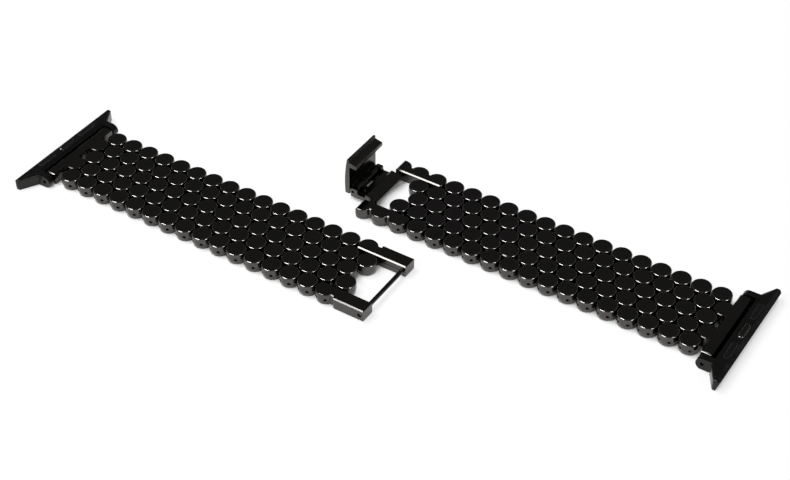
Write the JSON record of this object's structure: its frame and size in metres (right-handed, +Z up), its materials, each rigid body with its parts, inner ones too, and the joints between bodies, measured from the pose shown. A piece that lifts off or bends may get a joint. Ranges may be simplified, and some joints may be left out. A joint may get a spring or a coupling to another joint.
{
  "type": "fish scale watch band",
  "caption": "Metal watch band in two halves, with rows of pinned round scales, a folding clasp, a rod loop and a sliding watch adapter at each outer end.",
  "frame": {"origin": "on the table, under the middle of the box round both open halves", "axes": "+X along the band towards the clasp half's adapter, +Y across it from the loop half towards the clasp half, +Z up from the table"},
  "size_m": [0.169, 0.0628, 0.0115],
  "materials": {
    "scale_black": "polished black plating",
    "frame_black": "polished black plating",
    "clasp_black": "satin black plating",
    "hook_steel": "worn black plating",
    "adapter_black": "polished black plating",
    "pad_black": "matt black",
    "pin_steel": "dark steel"
  },
  "bodies": {
    "clasp_frame": {"clasp_near_arm": "frame_black", "clasp_far_arm": "frame_black", "clasp_frame_scales": "scale_black", "clasp_frame_pins": "pin_steel", "clasp_base": "clasp_black", "clasp_base_pins": "pin_steel", "clasp_cover_pin": "pin_steel"},
    "clasp_cover": {"clasp_cover": "clasp_black", "clasp_hook": "hook_steel"},
    "loop_frame": {"loop_near_arm": "frame_black", "loop_far_arm": "frame_black", "loop_frame_scales": "scale_black", "loop_frame_pins": "pin_steel", "loop_rod": "pin_steel"},
    "clasp_link_01": {"clasp_scales_01": "scale_black"},
    "clasp_link_02": {"clasp_scales_02": "scale_black"},
    "clasp_link_03": {"clasp_scales_03": "scale_black"},
    "clasp_link_04": {"clasp_scales_04": "scale_black"},
    "clasp_link_05": {"clasp_scales_05": "scale_black"},
    "clasp_link_06": {"clasp_scales_06": "scale_black"},
    "clasp_link_07": {"clasp_scales_07": "scale_black"},
    "clasp_link_08": {"clasp_scales_08": "scale_black"},
    "clasp_link_09": {"clasp_scales_09": "scale_black"},
    "clasp_link_10": {"clasp_scales_10": "scale_black"},
    "clasp_link_11": {"clasp_scales_11": "scale_black"},
    "clasp_link_12": {"clasp_scales_12": "scale_black"},
    "clasp_link_13": {"clasp_scales_13": "scale_black"},
    "clasp_link_14": {"clasp_scales_14": "scale_black"},
    "clasp_link_15": {"clasp_scales_15": "scale_black"},
    "clasp_end_link": {"clasp_end_link": "frame_black", "clasp_end_pin": "pin_steel"},
    "clasp_adapter": {"clasp_adapter": "adapter_black", "clasp_adapter_pin": "pin_steel", "clasp_adapter_pads": "pad_black", "clasp_button_spring": "pin_steel"},
    "clasp_lock_button": {"clasp_lock_button": "adapter_black"},
    "loop_link_01": {"loop_scales_01": "scale_black"},
    "loop_link_02": {"loop_scales_02": "scale_black"},
    "loop_link_03": {"loop_scales_03": "scale_black"},
    "loop_link_04": {"loop_scales_04": "scale_black"},
    "loop_link_05": {"loop_scales_05": "scale_black"},
    "loop_link_06": {"loop_scales_06": "scale_black"},
    "loop_link_07": {"loop_scales_07": "scale_black"},
    "loop_link_08": {"loop_scales_08": "scale_black"},
    "loop_link_09": {"loop_scales_09": "scale_black"},
    "loop_link_10": {"loop_scales_10": "scale_black"},
    "loop_link_11": {"loop_scales_11": "scale_black"},
    "loop_link_12": {"loop_scales_12": "scale_black"},
    "loop_link_13": {"loop_scales_13": "scale_black"},
    "loop_link_14": {"loop_scales_14": "scale_black"},
    "loop_link_15": {"loop_scales_15": "scale_black"},
    "loop_end_link": {"loop_end_link": "frame_black", "loop_end_pin": "pin_steel"},
    "loop_adapter": {"loop_adapter": "adapter_black", "loop_adapter_pin": "pin_steel", "loop_adapter_pads": "pad_black", "loop_button_spring": "pin_steel"},
    "loop_lock_button": {"loop_lock_button": "adapter_black"}
  },
  "joints": [
    {"name": "clasp_cover_hinge", "type": "hinge", "parent": "clasp_frame", "child": "clasp_cover", "pos_m": [-0.01428, 0.01443, 0.00249], "axis": [0, 1, 0], "range_deg": [-10, 90]},
    {"name": "loop_half_lift", "type": "slide", "parent": "clasp_frame", "child": "loop_frame", "axis": [0, 0, 1], "range_m": [0, 0.045]},
    {"name": "clasp_hinge_01", "type": "hinge", "parent": "clasp_frame", "child": "clasp_link_01", "pos_m": [0.00154, 0.01443, 0.0015], "axis": [0, 1, 0], "range_deg": [-6, 14]},
    {"name": "clasp_hinge_02", "type": "hinge", "parent": "clasp_link_01", "child": "clasp_link_02", "pos_m": [0.00645, 0.01443, 0.0015], "axis": [0, 1, 0], "range_deg": [-6, 14]},
    {"name": "clasp_hinge_03", "type": "hinge", "parent": "clasp_link_02", "child": "clasp_link_03", "pos_m": [0.01134, 0.01443, 0.0015], "axis": [0, 1, 0], "range_deg": [-6, 14]},
    {"name": "clasp_hinge_04", "type": "hinge", "parent": "clasp_link_03", "child": "clasp_link_04", "pos_m": [0.01624, 0.01443, 0.0015], "axis": [0, 1, 0], "range_deg": [-6, 14]},
    {"name": "clasp_hinge_05", "type": "hinge", "parent": "clasp_link_04", "child": "clasp_link_05", "pos_m": [0.02115, 0.01443, 0.0015], "axis": [0, 1, 0], "range_deg": [-6, 14]},
    {"name": "clasp_hinge_06", "type": "hinge", "parent": "clasp_link_05", "child": "clasp_link_06", "pos_m": [0.02604, 0.01443, 0.0015], "axis": [0, 1, 0], "range_deg": [-6, 14]},
    {"name": "clasp_hinge_07", "type": "hinge", "parent": "clasp_link_06", "child": "clasp_link_07", "pos_m": [0.03095, 0.01443, 0.0015], "axis": [0, 1, 0], "range_deg": [-6, 14]},
    {"name": "clasp_hinge_08", "type": "hinge", "parent": "clasp_link_07", "child": "clasp_link_08", "pos_m": [0.03585, 0.01443, 0.0015], "axis": [0, 1, 0], "range_deg": [-6, 14]},
    {"name": "clasp_hinge_09", "type": "hinge", "parent": "clasp_link_08", "child": "clasp_link_09", "pos_m": [0.04075, 0.01443, 0.0015], "axis": [0, 1, 0], "range_deg": [-6, 14]},
    {"name": "clasp_hinge_10", "type": "hinge", "parent": "clasp_link_09", "child": "clasp_link_10", "pos_m": [0.04564, 0.01443, 0.0015], "axis": [0, 1, 0], "range_deg": [-6, 14]},
    {"name": "clasp_hinge_11", "type": "hinge", "parent": "clasp_link_10", "child": "clasp_link_11", "pos_m": [0.05054, 0.01443, 0.0015], "axis": [0, 1, 0], "range_deg": [-6, 14]},
    {"name": "clasp_hinge_12", "type": "hinge", "parent": "clasp_link_11", "child": "clasp_link_12", "pos_m": [0.05545, 0.01443, 0.0015], "axis": [0, 1, 0], "range_deg": [-6, 14]},
    {"name": "clasp_hinge_13", "type": "hinge", "parent": "clasp_link_12", "child": "clasp_link_13", "pos_m": [0.06035, 0.01443, 0.0015], "axis": [0, 1, 0], "range_deg": [-6, 14]},
    {"name": "clasp_hinge_14", "type": "hinge", "parent": "clasp_link_13", "child": "clasp_link_14", "pos_m": [0.06524, 0.01443, 0.0015], "axis": [0, 1, 0], "range_deg": [-6, 14]},
    {"name": "clasp_hinge_15", "type": "hinge", "parent": "clasp_link_14", "child": "clasp_link_15", "pos_m": [0.07014, 0.01443, 0.0015], "axis": [0, 1, 0], "range_deg": [-6, 14]},
    {"name": "clasp_hinge_16", "type": "hinge", "parent": "clasp_link_15", "child": "clasp_end_link", "pos_m": [0.07505, 0.01443, 0.0015], "axis": [0, 1, 0], "range_deg": [-6, 14]},
    {"name": "clasp_adapter_pivot", "type": "hinge", "parent": "clasp_end_link", "child": "clasp_adapter", "pos_m": [0.07872, 0.01443, 0.0015], "axis": [0, 1, 0], "range_deg": [-30, 60]},
    {"name": "clasp_button_press", "type": "slide", "parent": "clasp_adapter", "child": "clasp_lock_button", "axis": [0, 0, -1], "range_m": [0, 0.0004], "stiffness_N_per_m": 100, "springref_m": -0.0005, "deforming": ["clasp_button_spring"]},
    {"name": "loop_hinge_01", "type": "hinge", "parent": "loop_frame", "child": "loop_link_01", "pos_m": [-0.00154, -0.01443, 0.0015], "axis": [0, -1, 0], "range_deg": [-6, 14]},
    {"name": "loop_hinge_02", "type": "hinge", "parent": "loop_link_01", "child": "loop_link_02", "pos_m": [-0.00645, -0.01443, 0.0015], "axis": [0, -1, 0], "range_deg": [-6, 14]},
    {"name": "loop_hinge_03", "type": "hinge", "parent": "loop_link_02", "child": "loop_link_03", "pos_m": [-0.01134, -0.01443, 0.0015], "axis": [0, -1, 0], "range_deg": [-6, 14]},
    {"name": "loop_hinge_04", "type": "hinge", "parent": "loop_link_03", "child": "loop_link_04", "pos_m": [-0.01624, -0.01443, 0.0015], "axis": [0, -1, 0], "range_deg": [-6, 14]},
    {"name": "loop_hinge_05", "type": "hinge", "parent": "loop_link_04", "child": "loop_link_05", "pos_m": [-0.02115, -0.01443, 0.0015], "axis": [0, -1, 0], "range_deg": [-6, 14]},
    {"name": "loop_hinge_06", "type": "hinge", "parent": "loop_link_05", "child": "loop_link_06", "pos_m": [-0.02604, -0.01443, 0.0015], "axis": [0, -1, 0], "range_deg": [-6, 14]},
    {"name": "loop_hinge_07", "type": "hinge", "parent": "loop_link_06", "child": "loop_link_07", "pos_m": [-0.03095, -0.01443, 0.0015], "axis": [0, -1, 0], "range_deg": [-6, 14]},
    {"name": "loop_hinge_08", "type": "hinge", "parent": "loop_link_07", "child": "loop_link_08", "pos_m": [-0.03585, -0.01443, 0.0015], "axis": [0, -1, 0], "range_deg": [-6, 14]},
    {"name": "loop_hinge_09", "type": "hinge", "parent": "loop_link_08", "child": "loop_link_09", "pos_m": [-0.04075, -0.01443, 0.0015], "axis": [0, -1, 0], "range_deg": [-6, 14]},
    {"name": "loop_hinge_10", "type": "hinge", "parent": "loop_link_09", "child": "loop_link_10", "pos_m": [-0.04564, -0.01443, 0.0015], "axis": [0, -1, 0], "range_deg": [-6, 14]},
    {"name": "loop_hinge_11", "type": "hinge", "parent": "loop_link_10", "child": "loop_link_11", "pos_m": [-0.05054, -0.01443, 0.0015], "axis": [0, -1, 0], "range_deg": [-6, 14]},
    {"name": "loop_hinge_12", "type": "hinge", "parent": "loop_link_11", "child": "loop_link_12", "pos_m": [-0.05545, -0.01443, 0.0015], "axis": [0, -1, 0], "range_deg": [-6, 14]},
    {"name": "loop_hinge_13", "type": "hinge", "parent": "loop_link_12", "child": "loop_link_13", "pos_m": [-0.06035, -0.01443, 0.0015], "axis": [0, -1, 0], "range_deg": [-6, 14]},
    {"name": "loop_hinge_14", "type": "hinge", "parent": "loop_link_13", "child": "loop_link_14", "pos_m": [-0.06524, -0.01443, 0.0015], "axis": [0, -1, 0], "range_deg": [-6, 14]},
    {"name": "loop_hinge_15", "type": "hinge", "parent": "loop_link_14", "child": "loop_link_15", "pos_m": [-0.07014, -0.01443, 0.0015], "axis": [0, -1, 0], "range_deg": [-6, 14]},
    {"name": "loop_hinge_16", "type": "hinge", "parent": "loop_link_15", "child": "loop_end_link", "pos_m": [-0.07505, -0.01443, 0.0015], "axis": [0, -1, 0], "range_deg": [-6, 14]},
    {"name": "loop_adapter_pivot", "type": "hinge", "parent": "loop_end_link", "child": "loop_adapter", "pos_m": [-0.07872, -0.01443, 0.0015], "axis": [0, -1, 0], "range_deg": [-30, 60]},
    {"name": "loop_button_press", "type": "slide", "parent": "loop_adapter", "child": "loop_lock_button", "axis": [0, 0, -1], "range_m": [0, 0.0004], "stiffness_N_per_m": 100, "springref_m": -0.0005, "deforming": ["loop_button_spring"]}
  ]
}
